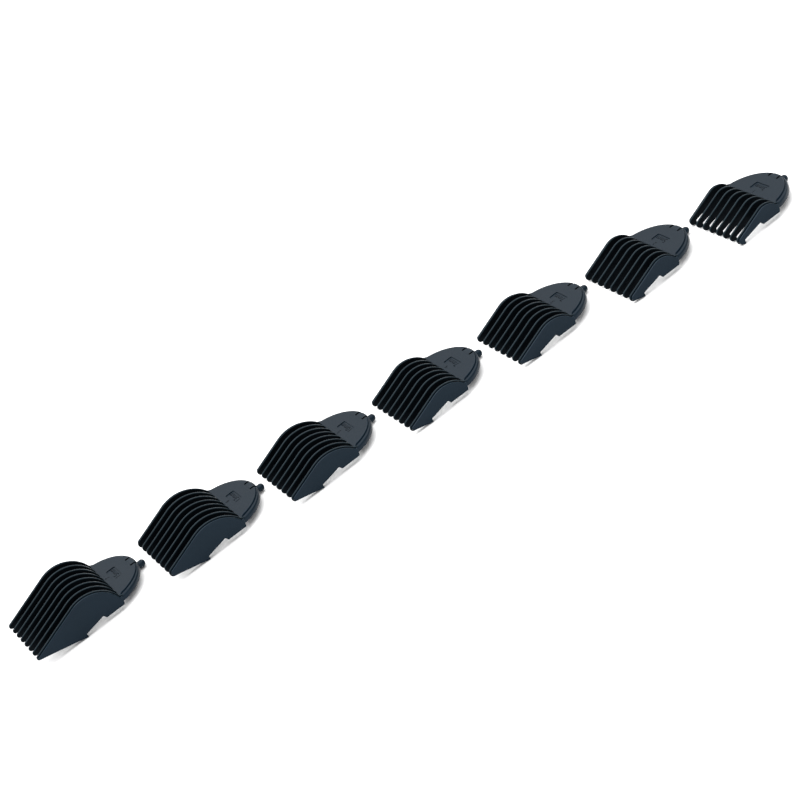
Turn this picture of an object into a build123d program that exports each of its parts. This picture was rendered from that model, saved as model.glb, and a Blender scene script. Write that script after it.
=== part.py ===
"""Row of seven clip-on guide combs for a hair clipper.

Every comb is one moulding: eight upright ribs that glide over the hair, two side walls, a rounded
tongue that lies on the clipper, and a snap tab at the tongue's tip that holds the comb on.
The combs share one tongue and one clip. They differ in cutting length, rib crest and tooth reach.

Each comb is worked out in its own frame: X runs from the tooth tips to the tongue, X = 0 is the heel
line where the ribs meet the tongue, Y = 0 is the middle of the comb, and Z = 0 is the table.
"""
from build123d import *
from math import cos, radians, sin, sqrt, tan
import os

os.makedirs("parts", exist_ok=True)

# ---------------------------------------------------------------- what differs from comb to comb
cut_lengths = (15.0, 13.0, 10.0, 7.0, 7.0, 5.0, 3.0)      # blade edge to glide face
crest_radii = (17.6, 19.8, 20.0, 15.0, 15.0, 10.4, 8.4)   # round top of the ribs
tooth_reaches = (50.4, 44.7, 40.6, 35.8, 35.8, 31.5, 27.5)  # heel line to tooth tips

# ---------------------------------------------------------------- how the combs lie in the row
row_gaps = (2.7, 2.1, 3.6, 3.6, 3.6, 3.1)                 # snap peg to the next comb's tooth tips
row_steps = (11.4, 11.9, 13.2, 12.5, 15.2, 18.3)          # sideways step to the next comb

# ---------------------------------------------------------------- ribs
rib_count = 8
rib_pitch = 6.0
rib_thickness = 1.3
glide_angle = 21.7          # glide face to the table
barb_x = -23.8              # barb that hooks behind the blade's edge
blade_edge_z = 2.0          # top of the barb's notch, where the blade's edge lies
blade_angle = 12.35         # blade's top face to the table
sole_break_x = -30.25       # the sole bends here, between barb and tooth tip
sole_break_z = 1.7
sole_angle = 13.3
tip_roundness = 0.45        # length of the rounded tip as a share of its height
rib_sole_drop = 1.0         # the ribs' tips hang this far below the walls' tips
shortest_sole_drop = 0.2    # the same on the shortest comb

# ---------------------------------------------------------------- side walls and lugs
comb_width = 46.0
wall_thickness = 1.35
wall_drop = 0.6             # wall's top edge below the ribs' top edge
wall_setback = 0.6          # wall's tip behind the ribs' tips
lug_front_x = -11.2
lug_root_x = -12.3
lug_rear_x = -0.2
lug_z = 2.6
lug_thickness = 2.8

# ---------------------------------------------------------------- tongue
ellipse_x = -2.65           # centre of the tongue's outline ellipses
plate_z = 7.4               # top of the tongue
ledge_z = 6.8               # ledge round the raised plate
ceiling_z = 5.4             # underside, where the clipper's cover lies
skirt_z = 3.9               # bottom of the skirt
plate_length, plate_half_width = 20.1, 19.8
skirt_length, skirt_half_width = 20.9, 22.3
skirt_thickness = 1.6
edge_radius = 0.35

# ---------------------------------------------------------------- snap tab
slit_x = 14.45              # closed end of the two slits, and the tab's bending line
slit_y = 3.58
slit_width = 1.3
tab_relief = 0.35           # room behind the tab's foot when it bends
hinge_gap = 0.05
peg_tip_x = 22.1
peg_radius = 2.0
peg_z = 2.45                # height of the peg's axis

rib_ys = [(index - (rib_count - 1) / 2) * rib_pitch for index in range(rib_count)]
wall_inner_y = comb_width / 2 - wall_thickness
blade_slope = tan(radians(blade_angle))
sole_slope = tan(radians(sole_angle))
glide_slope = tan(radians(glide_angle))
lug_root_z = blade_edge_z + (lug_root_x - barb_x) * blade_slope


def sole_z(x, tip_x, drop):
    """Height of the sole: from the barb to the bend, then up to the tip, with the drop shared out."""
    lowered = drop * (barb_x - x) / (barb_x - tip_x)
    if x > sole_break_x:
        return sole_break_z * (barb_x - x) / (barb_x - sole_break_x) - lowered
    return sole_break_z + (sole_break_x - x) * sole_slope - lowered


def crest_centre(cut_length, radius):
    """Centre of the crest arc: it touches the glide line and ends on the heel line."""
    start_z = blade_edge_z + cut_length / cos(radians(glide_angle))
    line_x, line_z = cos(radians(glide_angle)), sin(radians(glide_angle))
    base_x = barb_x + radius * line_z
    base_z = start_z - radius * line_x - plate_z
    half_b = base_x * line_x + base_z * line_z
    travel = -half_b - sqrt(half_b ** 2 - base_x ** 2 - base_z ** 2 + radius ** 2)
    return base_x + travel * line_x, base_z + travel * line_z + plate_z


def arc_x(centre, radius, z):
    """Where the falling side of the crest arc passes height z."""
    return centre[0] + sqrt(radius ** 2 - (z - centre[1]) ** 2)


def glide_z(centre, radius, x):
    """Height of the straight glide face."""
    touch_x = centre[0] - radius * sin(radians(glide_angle))
    touch_z = centre[1] + radius * cos(radians(glide_angle))
    return touch_z + (x - touch_x) * glide_slope


def tip_root(centre, radius, tip_x, drop):
    """Where the rounded tip begins."""
    return tip_x + tip_roundness * (glide_z(centre, radius, tip_x) - sole_z(tip_x, tip_x, drop))


def top_edge(centre, radius, tip_x, drop, end_z):
    """Rounded tip, glide face and crest arc, up to height end_z. Goes in a BuildLine."""
    root_x = tip_root(centre, radius, tip_x, drop)
    over, under = glide_z(centre, radius, root_x), sole_z(root_x, tip_x, drop)
    ThreePointArc((root_x, under), (tip_x, (over + under) / 2), (root_x, over))
    touch = (centre[0] - radius * sin(radians(glide_angle)), centre[1] + radius * cos(radians(glide_angle)))
    crest = (centre[0], centre[1] + radius)
    Line((root_x, over), touch)
    ThreePointArc(touch, crest, (arc_x(centre, radius, end_z), end_z))


def lower_edge(root_x, tip_x, drop, rear_points):
    """Sole, barb, notch and blade line, from the tip to the rear points. Goes in a BuildLine."""
    sole = [(root_x, sole_z(root_x, tip_x, drop))]
    if root_x < sole_break_x:
        sole.append((sole_break_x, sole_z(sole_break_x, tip_x, drop)))
    Polyline(*sole, (barb_x, 0), (barb_x, blade_edge_z), (lug_root_x, lug_root_z), *rear_points)


def side_plane(origin, y):
    """Upright plane along the comb, at y across it."""
    return Plane(origin=(origin[0], origin[1] + y, 0), x_dir=(1, 0, 0), z_dir=(0, -1, 0))


def flat_plane(origin, z):
    """Level plane of a comb at height z."""
    return Plane(origin=(origin[0], origin[1], z), x_dir=(1, 0, 0), z_dir=(0, 0, 1))


def half_ellipse(length, half_width):
    """Tongue outline from its widest place to the tip. Goes in a BuildLine."""
    EllipticalCenterArc((ellipse_x, 0), length, half_width, start_angle=-90, arc_size=180)
    Line((ellipse_x, half_width), (ellipse_x, -half_width))


def make_teeth(origin, centre, radius, reach, drop):
    """Eight ribs, each a solid of its own."""
    tip_x = -reach
    with BuildPart() as teeth:
        with BuildSketch(*[side_plane(origin, y) for y in rib_ys]):
            with BuildLine():
                top_edge(centre, radius, tip_x, drop, plate_z)
                rear = [(ellipse_x, ceiling_z), (0, ceiling_z), (arc_x(centre, radius, plate_z), plate_z)]
                lower_edge(tip_root(centre, radius, tip_x, drop), tip_x, drop, rear)
            make_face()
        extrude(amount=rib_thickness / 2, both=True)
    return teeth


def make_shell(origin, centre, radius, reach):
    """Side walls, lugs, tongue plate and skirt in one piece, with room for the snap tab."""
    tip_x = wall_setback - reach
    wall_radius = radius - wall_drop
    wall_end_x = arc_x(centre, wall_radius, ledge_z)
    wall_middle = wall_inner_y + wall_thickness / 2
    lug_middle = comb_width / 2 - lug_thickness / 2
    with BuildPart() as shell:
        # base plate with the skirt's outline, hollow below
        with BuildSketch(flat_plane(origin, skirt_z)):
            with BuildLine():
                half_ellipse(skirt_length, skirt_half_width)
            make_face()
        extrude(amount=ledge_z - skirt_z)
        with BuildSketch(flat_plane(origin, skirt_z)):
            with BuildLine():
                half_ellipse(skirt_length - skirt_thickness, skirt_half_width - skirt_thickness)
            make_face()
        extrude(amount=ceiling_z - skirt_z, mode=Mode.SUBTRACT)
        # raised plate
        with BuildSketch(flat_plane(origin, ledge_z)):
            with BuildLine():
                half_ellipse(plate_length, plate_half_width)
            make_face()
        extrude(amount=plate_z - ledge_z)
        # the gaps between the ribs are open as far as the heel line
        with BuildSketch(flat_plane(origin, ceiling_z)):
            with Locations((ellipse_x / 2, 0)):
                Rectangle(-ellipse_x, 2 * wall_inner_y)
        extrude(amount=plate_z - ceiling_z, mode=Mode.SUBTRACT)
        # side walls
        with BuildSketch(side_plane(origin, -wall_middle), side_plane(origin, wall_middle)):
            with BuildLine():
                top_edge(centre, wall_radius, tip_x, 0, ledge_z)
                rear = [(lug_front_x, lug_z), (lug_rear_x, lug_z), (lug_rear_x, ledge_z), (wall_end_x, ledge_z)]
                lower_edge(tip_root(centre, wall_radius, tip_x, 0), tip_x, 0, rear)
            make_face()
        extrude(amount=wall_thickness / 2, both=True)
        # lugs
        with BuildSketch(side_plane(origin, -lug_middle), side_plane(origin, lug_middle)):
            with BuildLine():
                Polyline((lug_root_x, lug_root_z), (lug_front_x, lug_z), (lug_rear_x, lug_z),
                         (lug_rear_x, ceiling_z), (ellipse_x, ceiling_z), close=True)
            make_face()
        extrude(amount=lug_thickness / 2, both=True)
        # room for the snap tab: two slits and the tab's own width
        tab_room = skirt_length
        with BuildSketch(flat_plane(origin, skirt_z)):
            with Locations((slit_x + tab_room / 2, 0)):
                Rectangle(tab_room, 2 * slit_y + slit_width)
        extrude(amount=plate_z - skirt_z, mode=Mode.SUBTRACT)
    return shell


def make_tab(origin):
    """Snap tab between the two slits, with the round peg that catches in the clipper."""
    half_width = slit_y - slit_width / 2
    with BuildPart() as tab:
        with BuildSketch(flat_plane(origin, skirt_z)):
            with BuildLine():
                half_ellipse(skirt_length, skirt_half_width)
            make_face()
        extrude(amount=ledge_z - skirt_z)
        with BuildSketch(flat_plane(origin, ledge_z)):
            with BuildLine():
                half_ellipse(plate_length, plate_half_width)
            make_face()
        extrude(amount=plate_z - ledge_z)
        # keep what lies between the slits, in front of the sloping relief at the bending line
        with BuildSketch(side_plane(origin, 0)):
            with BuildLine():
                Polyline((slit_x + hinge_gap, plate_z), (slit_x + tab_relief, skirt_z),
                         (ellipse_x + skirt_length, skirt_z), (ellipse_x + skirt_length, plate_z), close=True)
            make_face()
        extrude(amount=half_width, both=True, mode=Mode.INTERSECT)
        # peg: a round pin with a domed end, under the tab
        peg_x = slit_x + 2 * tab_relief
        pin_length = peg_tip_x - peg_radius - peg_x
        with BuildSketch(Plane(origin=(origin[0] + peg_x, origin[1], peg_z), x_dir=(0, 1, 0), z_dir=(1, 0, 0))):
            Circle(peg_radius)
        extrude(amount=pin_length)
        with Locations((origin[0] + peg_tip_x - peg_radius, origin[1], peg_z)):
            Sphere(peg_radius)
        # neck between tab and peg
        with BuildSketch(side_plane(origin, 0)):
            with BuildLine():
                Polyline((peg_x, peg_z), (peg_x, ledge_z), (ellipse_x + plate_length - edge_radius, ledge_z),
                         (ellipse_x + plate_length - edge_radius, peg_z), close=True)
            make_face()
        extrude(amount=peg_radius * 0.9, both=True)
    return tab


# ---------------------------------------------------------------- the row, centred on its own box
origins = [(0.0, 0.0)]
for gap, step, reach in zip(row_gaps, row_steps, tooth_reaches[1:]):
    last_x, last_y = origins[-1]
    origins.append((last_x + peg_tip_x + gap + reach, last_y - step))
middle_x = (origins[-1][0] + peg_tip_x - tooth_reaches[0]) / 2
middle_y = origins[-1][1] / 2

for index, (cut_length, radius, reach) in enumerate(zip(cut_lengths, crest_radii, tooth_reaches)):
    number = len(cut_lengths) - index       # the shortest comb is number 1
    origin = (origins[index][0] - middle_x, origins[index][1] - middle_y)
    centre = crest_centre(cut_length, radius)
    sole_drop = shortest_sole_drop if number == 1 else rib_sole_drop
    teeth = make_teeth(origin, centre, radius, reach, sole_drop)
    shell = make_shell(origin, centre, radius, reach)
    tab = make_tab(origin)
    for piece, name in ((teeth, "teeth"), (shell, "shell"), (tab, "snap_tab")):
        piece.part.label = f"comb_{number}_{name}"
        export_step(piece.part, f"parts/comb_{number}_{name}.step")
    print(number, "cut", cut_length, "origin", origin[0], origin[1], "crest", centre[1] + radius)
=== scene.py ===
# %% [markdown]
# # Seven guide combs for a hair clipper
#
# A guide comb clips on in front of the clipper's blade and holds it away from the skin. The seven
# combs of this set are plastic mouldings of one family: the same tongue and clip, with taller and
# longer teeth the more hair they leave. The solid model gives each comb's place and size. The
# pieces here are drawn round it with soft edges, an engraved label and a satin plastic finish.

# %% load the solid model
from math import asin, cos, pi, radians, sin, sqrt, tan

import bmesh
import bpy
import numpy as np
from mathutils import Matrix, Vector


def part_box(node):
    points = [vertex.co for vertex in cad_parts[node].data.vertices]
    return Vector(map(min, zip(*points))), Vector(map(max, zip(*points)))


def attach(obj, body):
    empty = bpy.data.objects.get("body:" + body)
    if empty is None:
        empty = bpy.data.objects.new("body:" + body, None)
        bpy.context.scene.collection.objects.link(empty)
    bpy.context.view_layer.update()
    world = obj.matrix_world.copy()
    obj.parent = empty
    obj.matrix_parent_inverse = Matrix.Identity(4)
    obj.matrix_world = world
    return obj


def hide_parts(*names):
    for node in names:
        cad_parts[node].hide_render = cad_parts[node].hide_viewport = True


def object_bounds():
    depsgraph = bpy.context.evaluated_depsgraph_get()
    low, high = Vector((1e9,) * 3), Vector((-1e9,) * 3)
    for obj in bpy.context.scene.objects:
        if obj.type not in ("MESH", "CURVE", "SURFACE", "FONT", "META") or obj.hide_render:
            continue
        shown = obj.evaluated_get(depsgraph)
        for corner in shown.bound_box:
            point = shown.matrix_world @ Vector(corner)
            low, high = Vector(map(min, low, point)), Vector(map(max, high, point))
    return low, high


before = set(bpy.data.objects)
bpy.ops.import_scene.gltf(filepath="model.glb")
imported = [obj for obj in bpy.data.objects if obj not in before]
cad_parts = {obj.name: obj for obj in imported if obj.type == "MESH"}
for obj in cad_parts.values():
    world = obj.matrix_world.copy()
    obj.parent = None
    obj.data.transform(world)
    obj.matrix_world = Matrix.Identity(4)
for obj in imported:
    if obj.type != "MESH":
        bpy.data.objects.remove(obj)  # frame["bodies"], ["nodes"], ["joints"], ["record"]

size_at_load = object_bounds()
mm = 0.001
print("solid model", [round(side / mm, 1) for side in size_at_load[1] - size_at_load[0]], "mm")

# %% [markdown]
# ## Where each comb lies
#
# A comb is drawn in its own frame: x = 0 is the heel line, where the ribs end on the tongue, y = 0
# is its middle and z = 0 the table. The heel, the reach of the teeth and the height of the crest are
# read from the solid teeth. They could be typed in again, but then a drawn comb might drift away from
# its solid one. The cutting length and the radius of the crest can't be read, so they are listed.

# %% comb places
cut_lengths = {7: 15, 6: 13, 5: 10, 4: 7, 3: 7, 2: 5, 1: 3}
crest_radii = {7: 17.6, 6: 19.8, 5: 20.0, 4: 15.0, 3: 15.0, 2: 10.4, 1: 8.4}
combs = {}
for number in cut_lengths:
    low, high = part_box(f"comb_{number}_teeth")
    combs[number] = {
        "heel": Vector((high.x, (low.y + high.y) / 2, 0)),
        "tip_x": low.x - high.x,
        "crest_z": high.z,
        "radius": crest_radii[number] * mm,
    }
    print(number, "reach", round((high.x - low.x) / mm, 2), "crest", round(high.z / mm, 2))

# %% [markdown]
# ## Outlines seen from the side
#
# Every tooth and both side walls have one outline: a rounded tip, the straight glide face, the round
# crest, and below it the sole, the barb and the blade line. It could be traced with a Bezier curve.
# Worked out from its lines and arcs, it follows the solid model and fits all seven combs.

# %% sizes of the teeth
glide_angle = radians(21.7)
tip_roundness = 0.45       # the tip's arc is this share of the tip's height deep
barb_x, blade_edge_z, blade_slope = -23.8 * mm, 2.0 * mm, tan(radians(12.35))
sole_break_x, sole_break_z, sole_slope = -30.25 * mm, 1.7 * mm, tan(radians(13.3))
sole_drops = {number: (0.2 if number == 1 else 1.0) * mm for number in combs}
heel_fillet = 0.5 * mm
print("sole drops", {number: round(drop / mm, 1) for number, drop in sole_drops.items()}, "mm")

# %% sizes of the tongue and the lugs
ellipse_x = -2.65 * mm     # middle of the tongue's oval
plate_z, ledge_z, ceiling_z = 7.4 * mm, 6.8 * mm, 5.4 * mm
wall_drop, wall_setback = 0.6 * mm, 0.6 * mm
lug_front_x, lug_root_x, lug_rear_x = -11.2 * mm, -12.3 * mm, -0.2 * mm
lug_z = 2.6 * mm
lug_root_z = blade_edge_z + (lug_root_x - barb_x) * blade_slope
print("the blade line meets the lug", round(lug_root_z / mm, 2), "mm above the table")

# %% arcs and softened corners
def arc(centre, radius, start, stop, count):
    """Points on a circle: centre + radius * (cos a, sin a), for a from start to stop."""
    angles = np.linspace(start, stop, count)
    return np.column_stack([centre[0] + radius * np.cos(angles), centre[1] + radius * np.sin(angles)])


def soften(corners, cuts, count=6):
    """An open line with its inner corners rounded. Corner P becomes (1-s)^2 A + 2 s (1-s) P + s^2 B,
    where A and B lie a cut's length from P on the line before and the line after it."""
    corners = np.array(corners, float)
    point = corners[1:-1, None]
    back, ahead = corners[:-2, None] - point, corners[2:, None] - point
    cuts = np.array(cuts, float).reshape(-1, 1, 1)
    start = point + cuts * back / np.linalg.norm(back, axis=2, keepdims=True)
    end = point + cuts * ahead / np.linalg.norm(ahead, axis=2, keepdims=True)
    s = np.linspace(0, 1, count).reshape(1, -1, 1)
    curves = (1 - s) ** 2 * start + 2 * s * (1 - s) * point + s ** 2 * end
    return np.vstack([corners[:1], curves.reshape(-1, 2), corners[-1:]])


def clean(outline):
    """The closed outline without repeated points, which lie under a micrometre from the one before."""
    step = np.linalg.norm(outline - np.roll(outline, 1, axis=0), axis=1)
    return outline[step > 1e-6]


print("a line with one softened corner has", len(soften([(0, 0), (1, 0), (1, 1)], [0.2])), "points")


# %% the outline of a rib and of a wall
def sole_height(x, tip_x, sole_drop):
    """Height of the sole: it rises from the barb to its break, and a little less from there to the tip.
    The drop, taken off it, grows evenly from 0 at the barb to sole_drop at the tip."""
    lowered = sole_drop * (barb_x - x) / (barb_x - tip_x)
    if x > sole_break_x:
        return sole_break_z * (barb_x - x) / (barb_x - sole_break_x) - lowered
    return sole_break_z + (sole_break_x - x) * sole_slope - lowered


def comb_side(comb, tip_x, sole_drop, drop, landing_z, fillet, rear):
    """Closed outline of a rib (drop 0) or a wall. The top is the circle through the tip, the glide line
    and the crest arc, all a drop inside the ribs' own. A fillet lands the arc on height landing_z. The
    rear corners come next, as (x, z, cut), and the blade line, the barb and the sole lead back."""
    radius = comb["radius"] - drop
    centre_z = comb["crest_z"] - comb["radius"]
    centre = (-sqrt(comb["radius"] ** 2 - (plate_z - centre_z) ** 2), centre_z)
    touch_x, touch_z = centre[0] - radius * sin(glide_angle), centre_z + radius * cos(glide_angle)
    tip_top = touch_z + (tip_x - touch_x) * tan(glide_angle)
    root_x = tip_x + tip_roundness * (tip_top - sole_height(tip_x, tip_x, sole_drop))
    over = touch_z + (root_x - touch_x) * tan(glide_angle)
    under = sole_height(root_x, tip_x, sole_drop)
    depth, half = root_x - tip_x, (over - under) / 2
    tip_radius = (depth ** 2 + half ** 2) / (2 * depth)
    swing = asin(min(1.0, half / tip_radius))
    tip = arc((tip_x + tip_radius, (over + under) / 2), tip_radius, pi + swing, pi - swing, 15)
    landing_x = centre[0] + sqrt((radius + fillet) ** 2 - (landing_z + fillet - centre_z) ** 2)
    lean = asin((landing_z + fillet - centre_z) / (radius + fillet))
    crest = arc(centre, radius, pi / 2 + glide_angle, lean, 36)
    landing = arc((landing_x, landing_z + fillet), fillet, lean - pi, -pi / 2, 7)
    bend = [(sole_break_x, sole_height(sole_break_x, tip_x, sole_drop), 1.5 * mm)]
    if root_x >= sole_break_x - 1.6 * mm:
        bend = []    # a short tooth ends before its sole would bend
    blade_line = [(lug_root_x, lug_root_z, 0.5 * mm), (barb_x, blade_edge_z, 0.4 * mm), (barb_x, 0, 0)]
    corners = [*rear, *blade_line, *bend]
    points = [landing[-1], *[corner[:2] for corner in corners], (root_x, under)]
    lower = soften(points, [corner[2] for corner in corners])
    outline = clean(np.vstack([tip, crest, landing, lower]))
    return outline[::-1]


def rib_outline(number):
    """A rib's outline: it runs on under the tongue's plate as far as tail_x."""
    comb, tail_x = combs[number], 1.9 * mm
    rear = [(tail_x, plate_z - 0.7 * mm, 0), (tail_x, ceiling_z + 0.4 * mm, 0), (0, ceiling_z, 0),
            (ellipse_x, ceiling_z, 0)]
    return comb_side(comb, comb["tip_x"], sole_drops[number], 0, plate_z, heel_fillet, rear)


def wall_outline(number):
    """A wall's outline: a drop lower than the ribs', a setback shorter, and down to the lug's foot."""
    comb = combs[number]
    rear = [(lug_rear_x + 0.9 * mm, ledge_z, 0.5 * mm), (lug_rear_x, lug_z, 0.6 * mm),
            (lug_front_x, lug_z, 0.4 * mm)]
    return comb_side(comb, comb["tip_x"] + wall_setback, 0, wall_drop, ledge_z, 0.1 * mm, rear)


print("rib outline", len(rib_outline(7)), "points, wall outline", len(wall_outline(7)))

# %% [markdown]
# ## From outlines to plates with soft edges
#
# A moulded rib has no sharp edge: its top is nearly half round, and that is what catches the light. A
# Bevel modifier could round an extruded outline. Here the outline is carried through the thickness
# instead, drawn in along a quarter circle near each face, which keeps the grid regular.

# %% plates
def inset(outline, distance):
    """The closed outline moved inwards. Each point goes along the sum of its two edge normals n1 and
    n2, by distance / (1 + n1.n2), so that both edges move by the full distance."""
    edge = np.roll(outline, -1, axis=0) - outline
    normal = np.column_stack([-edge[:, 1], edge[:, 0]]) / np.linalg.norm(edge, axis=1, keepdims=True)
    before = np.roll(normal, 1, axis=0)
    return outline + distance * (before + normal) / (1 + (before * normal).sum(1, keepdims=True))


def closed_grid(rings, around):
    """Quads of a grid of rings that each close on themselves."""
    ring, point = np.meshgrid(np.arange(rings - 1), np.arange(around), indexing="ij")
    ahead = (point + 1) % around
    low, high = ring * around, (ring + 1) * around
    quads = [low + point, high + point, high + ahead, low + ahead]
    return np.stack(quads, axis=-1).reshape(-1, 4)


def plate(outline, low_y, high_y, edge, steps=5):
    """An upright plate with the outline in x and z. Near each face the outline is drawn in by edge * (1 - sin
    t) at a depth of edge * (1 - cos t), with t from 0 to a right angle. The third value marks the worn edges,
    which in the ribs' finish also carry a painted highlight: it goes from 0 where the outline is drawn in by
    0.6 edge to 1 at 0.2 edge and less."""
    turn = np.linspace(0, pi / 2, steps + 1)
    inward = np.concatenate([[edge * 1.15], edge * (1 - np.sin(turn))])
    depth = np.concatenate([[0], edge * (1 - np.cos(turn))])
    inward = np.concatenate([inward, inward[::-1]])
    depth = np.concatenate([low_y + depth, high_y - depth[::-1]])
    rings = np.stack([inset(outline, distance) for distance in inward])
    count, around = rings.shape[:2]
    y = np.broadcast_to(depth[:, None], (count, around))
    points = np.stack([rings[..., 0], y, rings[..., 1]], axis=-1)
    faces = closed_grid(count, around).tolist()
    faces += [list(range(around)), list(range(count * around))[:-around - 1:-1]]
    wear_and_highlight = np.repeat(np.clip((0.6 * edge - inward) / (0.4 * edge), 0, 1), around)
    return points.reshape(-1, 3), faces, wear_and_highlight


def shifted(part, offset):
    """The same part moved by offset."""
    return part[0] + np.array(offset), part[1], part[2]


square = arc((0, 0), 10 * mm, 0, 1.5 * pi, 4)
print("a square plate has", len(plate(square, 0, 2 * mm, 0.5 * mm)[1]), "faces")


# %% putting parts together as one piece
def make_piece(name, parts, comb, finish):
    """One mesh from several (points, faces, edge wear and highlight) parts, moved to the comb's place in the
    row.
    """
    starts = np.cumsum([0] + [len(points) for points, _, _ in parts])
    points = np.vstack([points for points, _, _ in parts]) + np.array(comb["heel"])
    faces = [[index + start for index in face] for (_, part, _), start in zip(parts, starts) for face in part]
    mesh = bpy.data.meshes.new(name)
    mesh.from_pydata(points.tolist(), [], faces)
    wear_and_highlight_amount = np.concatenate([wear_and_highlight for _, _, wear_and_highlight in parts])
    mesh.attributes.new("wear_and_highlight", "FLOAT", "POINT").data.foreach_set("value", wear_and_highlight_amount)
    mesh.polygons.foreach_set("use_smooth", [len(face) < 5 for face in faces])
    work = bmesh.new()
    work.from_mesh(mesh)
    bmesh.ops.remove_doubles(work, verts=work.verts, dist=1e-6)
    bmesh.ops.recalc_face_normals(work, faces=work.faces)
    work.to_mesh(mesh)
    work.free()
    mesh.set_sharp_from_angle(angle=radians(40))
    mesh.materials.append(finish)
    piece = bpy.data.objects.new(name, mesh)
    bpy.context.scene.collection.objects.link(piece)
    return piece


# %% [markdown]
# ## Shader sums
#
# A finish is a small sum: a base value plus a little of this pattern and a little of that one. The
# class below lets such a sum be written as one, and adds a Math node for each sign.

# %% a signal and the board it is wired on
class Signal:
    """One output socket. A sum or product with it adds a Math node."""

    def __init__(self, board, socket):
        self.board, self.socket = board, socket

    def math(self, operation, left, right):
        """The Math node of left and right, which are signals or numbers."""
        return self.board.node("Math", {"operation": operation}, {0: left, 1: right})

    def __add__(self, other):
        return self.math("ADD", self, other)

    def __sub__(self, other):
        return self.math("SUBTRACT", self, other)

    def __rsub__(self, other):
        return self.math("SUBTRACT", other, self)

    def __mul__(self, other):
        return self.math("MULTIPLY", self, other)

    __radd__, __rmul__ = __add__, __mul__


class Board:
    """A material's node tree."""

    def __init__(self, name):
        self.material = bpy.data.materials.new(name)
        self.material.use_nodes = True
        self.tree = self.material.node_tree
        self.shader = self.tree.nodes["Principled BSDF"]

    def node(self, kind, settings=None, sockets=None, output=0):
        """A node with its settings first, then the values or links of its sockets."""
        made = self.tree.nodes.new("ShaderNode" + kind)
        for key, value in (settings or {}).items():
            setattr(made, key, value)
        self.feed(made, sockets or {})
        return Signal(self, made.outputs[output])

    def feed(self, made, sockets):
        """Links each signal to its socket, and sets each plain value on its socket."""
        for key, value in sockets.items():
            if isinstance(value, Signal):
                self.tree.links.new(value.socket, made.inputs[key])
            else:
                made.inputs[key].default_value = value


# %% [markdown]
# ## The plastic
#
# The combs are moulded in blue-black polypropylene with a fine spark-eroded grain, which gives a satin face.
# Handling has polished the edges a little. The grain is a small noise in the bump, a wide slow noise shifts
# colour and gloss the way a moulding's flow does, and each rounded edge carries an attribute which makes it
# slightly smoother and paler: worn by handling, and on the ribs' tops also a painted highlight. A picture
# wrapped round the comb could do the same, but noise leaves no seams.
#
# The same plastic looks different from place to place, in light and in shade, so there are three finishes of
# it. The broad faces are blue-black. The ribs' finish paints the shade between the ribs: a rib is nearly
# black down its sides, and pale on its top, which is worn and carries a painted highlight. The darkest and
# roughest finish paints the shade inside the slits and in the engraved letters.

# %% moulded plastic
def moulded_plastic(name, dark, pale, wear_and_highlight_amount, shine, roughness, grain):
    """Satin plastic between two tones. The worn edges take the given share of the paler tone, which in the
    ribs' finish is also a painted highlight.
    """
    board = Board(name)
    place = board.node("TexCoord", output="Object")
    flow = board.node("TexNoise", {}, {"Vector": place, "Scale": 70.0, "Detail": 3.0})
    fleck = board.node("TexNoise", {}, {"Vector": place, "Scale": 3500.0, "Detail": 2.0})
    wear_and_highlight = board.node("Attribute", {"attribute_name": "wear_and_highlight"}, output="Fac")
    tone = (flow * 0.7 + fleck * 0.3) * (1 - wear_and_highlight_amount) + wear_and_highlight * wear_and_highlight_amount
    tones = {"Factor": tone, 6: (*dark, 1), 7: (*pale, 1)}
    colour = board.node("Mix", {"data_type": "RGBA"}, tones, output=2)
    height = fleck * grain + flow * 0.1
    bump = board.node("Bump", {}, {"Height": height, "Strength": 0.35, "Distance": 0.05 * mm})
    gloss = roughness + flow * 0.1 + fleck * 0.06 - wear_and_highlight * 0.08
    board.feed(board.shader, {"Base Color": colour, "Roughness": gloss, "Normal": bump, "IOR": 1.49,
                              "Specular IOR Level": shine, "Specular Tint": (0.72, 0.87, 1.0, 1)})
    return board.material


plastic = moulded_plastic(
    "blue_black_plastic", dark=(0.0013, 0.005, 0.010), pale=(0.0026, 0.010, 0.018),
    wear_and_highlight_amount=0.35, shine=0.16, roughness=0.32, grain=1.0)
# Painted shade and highlight: near black down the ribs' sides for the shade between them, paler on their worn
# tops for a painted highlight.
rib_shade_and_highlight_plastic = moulded_plastic(
    "rib_shade_and_highlight_plastic", dark=(0.0002, 0.0006, 0.0012), pale=(0.011, 0.019, 0.025),
    wear_and_highlight_amount=0.85, shine=0.07, roughness=0.34, grain=1.0)
# Painted shade: the darkest tone, for the shade inside the slits and in the engraved letters.
painted_shade_plastic = moulded_plastic(
    "rough_painted_shade_plastic", dark=(0.0004, 0.0008, 0.0012), pale=(0.001, 0.002, 0.003),
    wear_and_highlight_amount=0.0, shine=0.02, roughness=0.6, grain=2.0)
print("finishes", [m.name for m in bpy.data.materials])

# %% [markdown]
# ## Ribs and walls
#
# Eight ribs stand side by side, and a wall closes each side a little below the ribs' top, so a dark
# line shows between the last rib and the wall. A lug thickens each wall beside the blade. An Array
# modifier could repeat the rib. Here one rib is worked out and copied, and the copies share a mesh.

# %% ribs
rib_count, rib_pitch, rib_thickness, rib_round = 8, 6.0 * mm, 1.3 * mm, 0.45 * mm


def rib_parts(number):
    """Eight copies of the rib, each a pitch further along y, centred on y = 0."""
    rib = plate(rib_outline(number), -rib_thickness / 2, rib_thickness / 2, rib_round)
    places = (np.arange(rib_count) - (rib_count - 1) / 2) * rib_pitch
    return [shifted(rib, (0, y, 0)) for y in places]


print("ribs", len(rib_parts(7)), "of", len(rib_parts(7)[0][0]), "points each")

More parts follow.
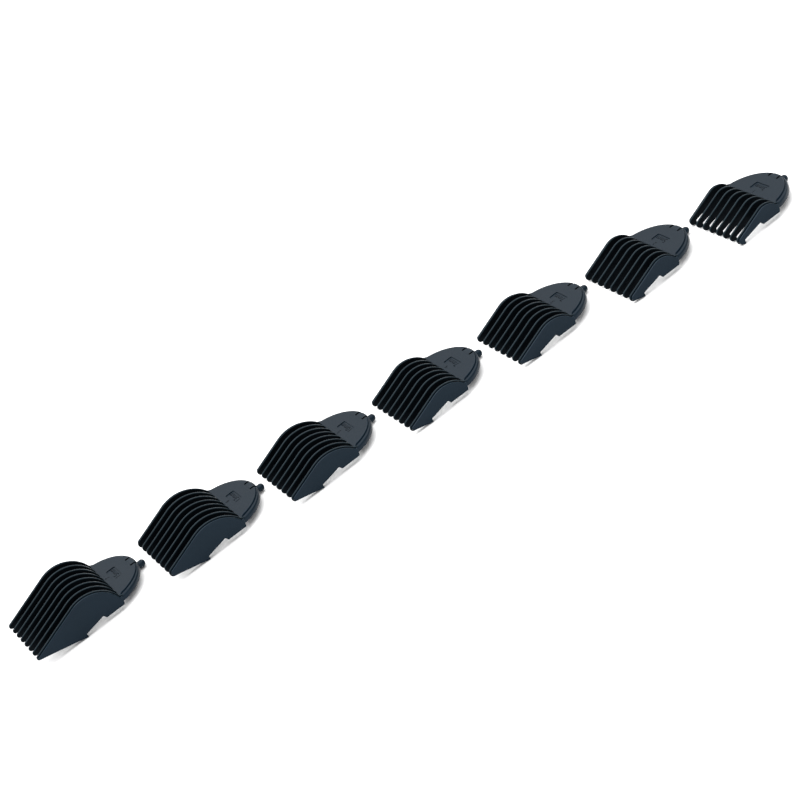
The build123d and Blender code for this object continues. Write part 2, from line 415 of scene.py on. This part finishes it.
# %% walls and lugs
half_comb, wall_thickness, wall_round = 23.0 * mm, 1.35 * mm, 0.25 * mm
lug_inner_y, lug_round, lug_overlap = 20.2 * mm, 0.25 * mm, 0.1 * mm


def wall_parts(number):
    """The two walls at the comb's sides and the lug inside each, which laps into its wall."""
    outline = wall_outline(number)
    pad = np.array([(ellipse_x, ceiling_z), (lug_root_x, lug_root_z), (lug_front_x, lug_z),
                    (lug_rear_x, lug_z), (lug_rear_x, ceiling_z)])
    inner = half_comb - wall_thickness
    return [
        plate(outline, -half_comb, -inner, wall_round),
        plate(outline, inner, half_comb, wall_round),
        plate(pad, -inner - lug_overlap, -lug_inner_y, lug_round),
        plate(pad, lug_inner_y, inner + lug_overlap, lug_round),
    ]


print("clear width between the lugs", round(2 * lug_inner_y / mm, 1), "mm")

# %% [markdown]
# ## The tongue
#
# The tongue is half an oval: a raised plate, a groove at its foot, a narrow ledge and a skirt that
# flares down to its rim. Each level line of it is an ellipse, so the whole tongue is one grid:
# the level along one side of the grid, the angle round the oval along the other. Lofting between
# curves would need the same levels, and a bevel besides. Two slits let the snap tab bend, so the grid
# stops at a notch in front, and flat faces close it there.

# %% the levels of the tongue
plate_axes, skirt_axes = (20.1 * mm, 19.8 * mm), (20.9 * mm, 22.3 * mm)
recess = 0.6 * mm          # the face plate with the label lies in a recess this deep
face_margin = 0.42 * mm    # the recess stops this far inside the plate's edge
edge = 0.35 * mm
shoulder = 1.7 * mm        # near the heel the plate widens to meet the outer ribs
turn = np.linspace(0, pi / 2, 6)

# A level is its share from the plate's oval (0) to the skirt's (1), its offset outwards, and its height.
plate_levels = [(0, -face_margin, plate_z - recess), (0, -face_margin, plate_z)]
plate_levels += [(0, -edge * (1 - sin(t)), plate_z - edge * (1 - cos(t))) for t in turn]
ledge_levels = [(0, 0, 6.9), (0.05, 0, 6.62), (0.14, 0, 6.62), (0.22, 0, 6.78), (0.5, 0, 6.8),
                (0.8, 0, 6.74), (0.93, 0, 6.5), (1, 0, 6.0), (1, 0, 4.3)]
rim_levels = [(1, -0.12, 4.0), (1, -0.4, 3.9), (1, -1.2, 3.9), (1, -1.5, 4.0), (1, -1.6, 4.3), (1, -1.6, 5.4)]
levels = np.array(plate_levels + [(s, o * mm, z * mm) for s, o, z in ledge_levels + rim_levels])
share, outwards, level_z = levels.T
level_a = (1 - share) * plate_axes[0] + share * skirt_axes[0] + outwards
level_b = (1 - share) * plate_axes[1] + share * skirt_axes[1] + outwards
level_worn = np.where((outwards < -0.01 * mm) & (share < 0.5), 1.0, 0.0)
print("the tongue has", len(levels), "levels, from", round(level_z.min() / mm, 1), "to",
      round(level_z.max() / mm, 1), "mm")

# %% the tongue as one grid
slit_x, slit_y, slit_width = 14.45 * mm, 3.58 * mm, 1.3 * mm
notch_y = slit_y + slit_width / 2


def open_grid(rows, columns, offset=0):
    """Quads of a grid that closes on neither side."""
    row, column = np.meshgrid(np.arange(rows - 1), np.arange(columns - 1), indexing="ij")
    corner = row * columns + column + offset
    return np.stack([corner, corner + columns, corner + columns + 1, corner + 1], axis=-1).reshape(-1, 4)


def tongue_side(side, count=48):
    """One half of the tongue: x = ellipse_x + a cos t, y = side * b sin t for every level's a and b, with
    t from the slit to the heel line. Near the heel y grows by the shoulder, which fades out along x as
    a bell curve does, and from the plate's levels to the skirt's as the square of 1 - share."""
    start, stop = np.arcsin(notch_y / level_b), np.arccos(-ellipse_x / level_a)
    t = start[:, None] + (stop - start)[:, None] * np.linspace(0, 1, count)
    x = ellipse_x + level_a[:, None] * np.cos(t)
    y = level_b[:, None] * np.sin(t)
    y = y + shoulder * (1 - share[:, None]) ** 2 * np.exp(-(x / (1.3 * mm)) ** 2)
    return np.stack([x, side * y, np.broadcast_to(level_z[:, None], x.shape)], axis=-1)


def tongue_part():
    """Both halves, and the flat faces between them: on top, underneath, at the heel and in the notch."""
    near, far = tongue_side(-1), tongue_side(1)
    rows, columns = near.shape[:2]
    size = rows * columns
    top, floor = plate_z - recess, ceiling_z
    corners = np.array([(slit_x, side * notch_y, z) for z in (top, floor) for side in (-1, 1)])
    top_near, top_far, low_near, low_far = range(2 * size, 2 * size + 4)
    first = np.arange(rows) * columns
    last = first + columns - 1
    faces = open_grid(rows, columns).tolist() + open_grid(rows, columns, size).tolist()
    faces += [
        [*range(columns), *range(size + columns - 1, size - 1, -1), top_far, top_near],
        [*range(size - columns, size), *range(2 * size - 1, 2 * size - columns - 1, -1), low_far, low_near],
        [*last.tolist(), *(last + size)[::-1].tolist()],
        [*first.tolist(), low_near, top_near],
        [*(first + size).tolist(), low_far, top_far],
        [top_near, top_far, low_far, low_near],
    ]
    wear_and_highlight = np.concatenate([np.repeat(level_worn, columns)] * 2 + [np.zeros(4)])
    return np.vstack([near.reshape(-1, 3), far.reshape(-1, 3), corners]), faces, wear_and_highlight


# %% [markdown]
# ## The snap tab and its peg
#
# The tab is the slice of the tongue between the slits. A round peg with a domed end hangs under it and
# catches in the clipper. The peg is turned: a profile of radii carried round an axis. A Screw modifier could
# turn it too, and would have to be applied before the peg joins the tab's mesh. The faces inside the slits
# lie in deep shade, so thin skins of the darkest finish paint that shade on them.

# %% the tab's leaf
hinge_gap = 0.05 * mm


def tab_leaf(count=9):
    """The tongue's levels above its recess again, with x = ellipse_x + a sqrt(1 - (y/b)^2) for y between
    the slits."""
    half = slit_y - slit_width / 2
    y = np.linspace(-half, half, count)
    x = ellipse_x + level_a[1:, None] * np.sqrt(1 - (y / level_b[1:, None]) ** 2)
    grid = np.stack([x, np.broadcast_to(y, x.shape), np.broadcast_to(level_z[1:, None], x.shape)], axis=-1)
    rows = len(x)
    size = rows * count
    root_x = slit_x + hinge_gap
    root = np.array([(root_x, v, z) for z in (plate_z, ceiling_z) for v in y])
    top_row, low_row = np.arange(size, size + count), np.arange(size + count, size + 2 * count)
    strips = [(top_row, np.arange(count)), (np.arange(size - count, size), low_row), (low_row, top_row)]
    faces = open_grid(rows, count).tolist()
    for before, after in strips:
        faces += np.stack([before[:-1], after[:-1], after[1:], before[1:]], axis=-1).tolist()
    first = np.arange(rows) * count
    faces += [[*first.tolist(), int(low_row[0]), int(top_row[0])],
              [*(first + count - 1).tolist(), int(low_row[-1]), int(top_row[-1])]]
    wear_and_highlight = np.concatenate([np.repeat(level_worn[1:], count), np.zeros(2 * count)])
    return np.vstack([grid.reshape(-1, 3), root]), faces, wear_and_highlight


print("leaf", len(tab_leaf()[0]), "points,", round(2 * (slit_y - slit_width / 2) / mm, 2), "mm wide")

# %% the peg and its neck
peg_tip_x, peg_radius, peg_z = 22.09 * mm, 2.0 * mm, 2.45 * mm    # a hair inside the solid peg's end


def turned_peg(start_x, end_x, radius, around=32):
    """Profile r(x) carried round the axis (x, 0, peg_z): straight, then a dome r = radius * cos u at
    x = end - radius * (1 - sin u)."""
    u = np.linspace(0, pi / 2, 12)
    x = np.concatenate([[start_x, start_x], end_x - radius * (1 - np.sin(u))])
    r = np.concatenate([[0, radius * 0.97], radius * np.cos(u)])
    angle = np.linspace(0, 2 * pi, around, endpoint=False)
    points = np.stack([np.broadcast_to(x[:, None], (len(x), around)), r[:, None] * np.cos(angle),
                       peg_z + r[:, None] * np.sin(angle)], axis=-1)
    return points.reshape(-1, 3), closed_grid(len(x), around).tolist(), np.full(len(x) * around, 0.5)


def tab_parts():
    """The leaf, the block that joins the peg to it, and the peg."""
    peg_x, neck_top = slit_x + 0.7 * mm, 6.2 * mm
    neck_x = ellipse_x + plate_axes[0] - 0.35 * mm
    neck = np.array([(peg_x, peg_z), (neck_x, peg_z), (neck_x, neck_top), (peg_x, neck_top)])
    neck_half = peg_radius * 0.9
    neck_block = plate(neck, -neck_half, neck_half, 0.3 * mm)
    return [tab_leaf(), neck_block, turned_peg(peg_x, peg_tip_x, peg_radius)]


print("the peg's dome ends", round(peg_tip_x / mm, 2), "mm from the heel line")

# %% painted shade on the slits' sides
skirt_z, skin = 3.9 * mm, 0.06 * mm


def slit_sides(y):
    """Thin skins of painted shade on the upright faces that face across the slits, at y and at -y. Their
    outline keeps just inside the tongue's section: the leaf's face, the drop to the ledge, and the skirt."""
    low, high = ceiling_z + 0.05 * mm, plate_z - 0.05 * mm
    front_x = ellipse_x + plate_axes[0] * cos(asin(slit_y / plate_axes[1]))
    upper = [(slit_x + 0.3 * mm, low), (slit_x + 0.1 * mm, high), (front_x - 0.35 * mm, high)]
    ledge = [(front_x - 0.1 * mm, ledge_z - 0.25 * mm), (front_x + 0.5 * mm, ledge_z - 0.3 * mm)]
    lower = [(front_x + 0.6 * mm, skirt_z + 0.2 * mm), (front_x - 0.5 * mm, skirt_z + 0.2 * mm),
             (front_x - 0.6 * mm, low)]
    outline = np.array(upper + ledge + lower)[::-1]
    return [plate(outline, y, y + skin, skin / 3, steps=2), plate(outline, -y - skin, -y, skin / 3, steps=2)]


print("skins", round(skin / mm, 2), "mm thick")

# %% [markdown]
# ## The engraved label
#
# The face of the tongue has a shallow pocket with the cutting length in millimetres, and the comb's
# number in the set below it. Cutting letters with a Boolean is fragile. A flat curve fills between an
# outline and the outlines inside it, so the plate's outline and the letters' outlines together give a
# sheet with letter-shaped openings, which then gets its thickness.

# %% flat sheets with openings
pocket = (3.4 * mm, 8.5 * mm, 5.65 * mm)      # from x, to x, half width
pocket_round = 0.8 * mm
pocket_depth, floor_thickness, letter_depth = 0.35 * mm, 0.2 * mm, 0.04 * mm
capital_share = 0.72       # height of a capital as a share of the font's size


def rounded_box(x0, x1, half, radius, count=7):
    """Outline of a box with rounded corners: four quarter circles."""
    left, right, y = x0 + radius, x1 - radius, half - radius
    centres = [(right, y), (left, y), (left, -y), (right, -y)]
    quarters = [arc(centre, radius, i * pi / 2, (i + 1) * pi / 2, count) for i, centre in enumerate(centres)]
    return np.vstack(quarters)


def letters(text, x, height):
    """Text curve that reads from the tongue's tip, with its foot at x and centred on y = 0."""
    data = bpy.data.curves.new("letters", "FONT")
    data.body, data.size, data.align_x = text, height / capital_share, "CENTER"
    data.offset, data.space_character = 0.26 * mm, 1.08    # bold strokes, set a little apart
    data.resolution_u = 5
    obj = bpy.data.objects.new("letters", data)
    bpy.context.scene.collection.objects.link(obj)
    obj.matrix_world = Matrix.Translation((x, 0, 0)) @ Matrix.Rotation(pi / 2, 4, "Z")
    bpy.ops.object.select_all(action="DESELECT")
    obj.select_set(True)
    bpy.context.view_layer.objects.active = obj
    bpy.ops.object.convert(target="CURVE")
    return bpy.context.view_layer.objects.active


print("a pocket", round((pocket[1] - pocket[0]) / mm, 2), "by", round(2 * pocket[2] / mm, 2), "mm")

# %% a sheet with letter-shaped openings
def sheet(outlines, texts, low_z, high_z):
    """A flat sheet between two heights, filled between its outlines by turns: inside the first, open
    inside the second or a letter, and filled again inside a letter's own hole."""
    data = bpy.data.curves.new("sheet", "CURVE")
    data.dimensions, data.fill_mode, data.extrude = "2D", "BOTH", (high_z - low_z) / 2
    for outline in outlines:
        spline = data.splines.new("POLY")
        spline.points.add(len(outline) - 1)
        flat, weight = np.zeros(len(outline)), np.ones(len(outline))
        spline.points.foreach_set("co", np.column_stack([outline, flat, weight]).ravel())
        spline.use_cyclic_u = True
    obj = bpy.data.objects.new("sheet", data)
    bpy.context.scene.collection.objects.link(obj)
    curves = [letters(*text) for text in texts]
    bpy.ops.object.select_all(action="DESELECT")
    for each in [*curves, obj]:
        each.select_set(True)
    bpy.context.view_layer.objects.active = obj
    if curves:
        bpy.ops.object.join()
    made = bpy.data.meshes.new_from_object(obj.evaluated_get(bpy.context.evaluated_depsgraph_get()))
    bpy.data.objects.remove(obj)
    points = np.empty(len(made.vertices) * 3)
    made.vertices.foreach_get("co", points)
    points = points.reshape(-1, 3) + np.array([0, 0, (low_z + high_z) / 2])
    faces = [list(face.vertices) for face in made.polygons]
    bpy.data.meshes.remove(made)
    return points, faces, np.zeros(len(points))


# %% the tongue's face and its label
number_foot_x, number_height = 3.05 * mm, 2.4 * mm
length_foot_x, length_height = 7.6 * mm, 3.1 * mm


def face_parts(number):
    """The tongue's face with the pocket and the comb's number, and the pocket's floor with the length."""
    near, far = tongue_side(-1)[0, :, :2], tongue_side(1)[0, :, :2]
    outline = np.vstack([near[::-1], [(slit_x, -notch_y), (slit_x, notch_y)], far])
    x0, x1, half = pocket
    floor_z, lap = plate_z - pocket_depth, 0.2 * mm
    number_text = (str(number), number_foot_x, number_height)
    length_text = (f"{cut_lengths[number]}mm", length_foot_x, length_height)
    floor_outline = rounded_box(x0 - lap, x1 + lap, half + lap, pocket_round + 0.1 * mm)
    return [
        sheet([outline, rounded_box(x0, x1, half, pocket_round)], [number_text], floor_z, plate_z),
        sheet([floor_outline], [length_text], floor_z - floor_thickness, floor_z),
    ]


def letter_ground():
    """The ground that shows through the letters, painted dark for the shade in the engraving: one block in
    the pocket's floor, one in the face.
    """
    x0, x1, half = pocket
    low_z, floor_z = plate_z - recess, plate_z - pocket_depth
    length_ground = rounded_box(x0, x1, half, pocket_round)
    number_ground = rounded_box(0.4 * mm, 3.2 * mm, 1.6 * mm, 0.5 * mm)
    return [sheet([length_ground], [], low_z, floor_z - letter_depth),
            sheet([number_ground], [], low_z, plate_z - letter_depth)]


print("letters", round(length_height / mm, 1), "and", round(number_height / mm, 1), "mm high")

# %% [markdown]
# ## Every comb
#
# Each comb is seven pieces on two moving bodies: the comb itself, and the snap tab, which bends. One mesh
# could hold all pieces of a body. Apart, each keeps its own name and its own finish. A piece rides on its
# body, and the solid parts are hidden.

# %% every comb
for number, comb in combs.items():
    body = f"comb_{number}"
    # Painted shade: the letters' ground and the skins in the slits take the darkest finish, and the ribs a
    # finish with painted shade on their sides and a painted highlight on their tops.
    painted_shade_parts = [*letter_ground(), *slit_sides(notch_y - skin)]
    ribs = make_piece(f"{body}_ribs", rib_parts(number), comb, rib_shade_and_highlight_plastic)
    walls = make_piece(f"{body}_walls", wall_parts(number), comb, plastic)
    tongue = make_piece(f"{body}_tongue", [tongue_part()], comb, plastic)
    face = make_piece(f"{body}_face", face_parts(number), comb, plastic)
    letter_and_slit_shade = make_piece(f"{body}_label", painted_shade_parts, comb, painted_shade_plastic)
    tab = make_piece(f"{body}_tab", tab_parts(), comb, plastic)
    tab_slit_shade = make_piece(f"{body}_tab_slit_shade", slit_sides(slit_y - slit_width / 2), comb, painted_shade_plastic)
    for piece in (ribs, walls, tongue, face, letter_and_slit_shade):
        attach(piece, body)
    for piece in (tab, tab_slit_shade):
        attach(piece, f"{body}_tab")
    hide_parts(f"{body}_teeth")
    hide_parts(f"{body}_shell")
    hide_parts(f"{body}_snap_tab")

# %% [markdown]
# ## Floor, light and camera
#
# The combs lie on a white floor under one wide soft light, which leaves only faint shadows round
# them. A small hard lamp would draw their shape more sharply, but near-black plastic shows its shape
# by what it reflects, and a large softbox lays a broad sheen on every top. Colours are shown by the
# Standard view transform, because Blender's usual one would turn the white floor grey. The camera has
# a long lens and is rolled, so that the row climbs from one corner of the frame to the other.

# %% floor
floor_mesh = bpy.data.meshes.new("floor")
floor_mesh.from_pydata([(-6, -6, 0), (6, -6, 0), (6, 6, 0), (-6, 6, 0)], [], [(0, 1, 2, 3)])
floor_board = Board("pale_floor")
spot = floor_board.node("TexCoord", output="Object")
haze = floor_board.node("TexNoise", {}, {"Vector": spot, "Scale": 4.0})
whites = {"Factor": haze, 6: (0.93, 0.93, 0.93, 1), 7: (0.95, 0.95, 0.95, 1)}
floor_tone = floor_board.node("Mix", {"data_type": "RGBA"}, whites, output=2)
floor_board.feed(floor_board.shader, {"Base Color": floor_tone, "Roughness": 0.9, "Specular IOR Level": 0.0})
floor_mesh.materials.append(floor_board.material)
floor = bpy.data.objects.new("floor", floor_mesh)
bpy.context.scene.collection.objects.link(floor)
floor.location.z = size_at_load[0].z - 0.05 * mm
print("floor at", round(floor.location.z / mm, 2), "mm")

# %% light
world = bpy.data.worlds.new("studio")
bpy.context.scene.world = world
world.use_nodes = True
world.node_tree.nodes["Background"].inputs["Color"].default_value = (1, 1, 1, 1)
world.node_tree.nodes["Background"].inputs["Strength"].default_value = 1.0
bpy.context.scene.view_settings.view_transform = "Standard"


def softbox(name, place, target, size, power):
    """A square area light that looks at the target."""
    data = bpy.data.lights.new(name, "AREA")
    data.energy, data.size = power, size
    light = bpy.data.objects.new(name, data)
    light.location = place
    light.rotation_euler = (Vector(target) - Vector(place)).to_track_quat("-Z", "Y").to_euler()
    bpy.context.scene.collection.objects.link(light)


softbox("overhead", place=(0.1, 0.2, 1.6), target=(0, 0, 0), size=3.0, power=61)
print("lights", [light.name for light in bpy.data.lights])

# %% camera
camera_data = bpy.data.cameras.new("camera")
camera = bpy.data.objects.new("camera", camera_data)
bpy.context.scene.collection.objects.link(camera)
bpy.context.scene.camera = camera
azimuth, elevation, roll = radians(75.60), radians(29.19), radians(30.05)
ahead = Vector((cos(elevation) * cos(azimuth), cos(elevation) * sin(azimuth), -sin(elevation)))
level = ahead.cross(Vector((0, 0, 1))).normalized()
down = ahead.cross(level)
right = cos(roll) * level + sin(roll) * down
up = sin(roll) * level - cos(roll) * down
place = combs[7]["heel"] + Vector((-0.1020, -1.08965, 0.6158))
axes = Matrix((right, up, -ahead)).transposed().to_4x4()
camera.matrix_world = Matrix.Translation(place) @ axes
camera_data.sensor_width = 36
camera_data.lens = 112.24
camera_data.clip_start, camera_data.clip_end = 0.05, 20
print("camera", round(place.length, 2), "m from the row's middle, lens", round(camera_data.lens, 1), "mm")
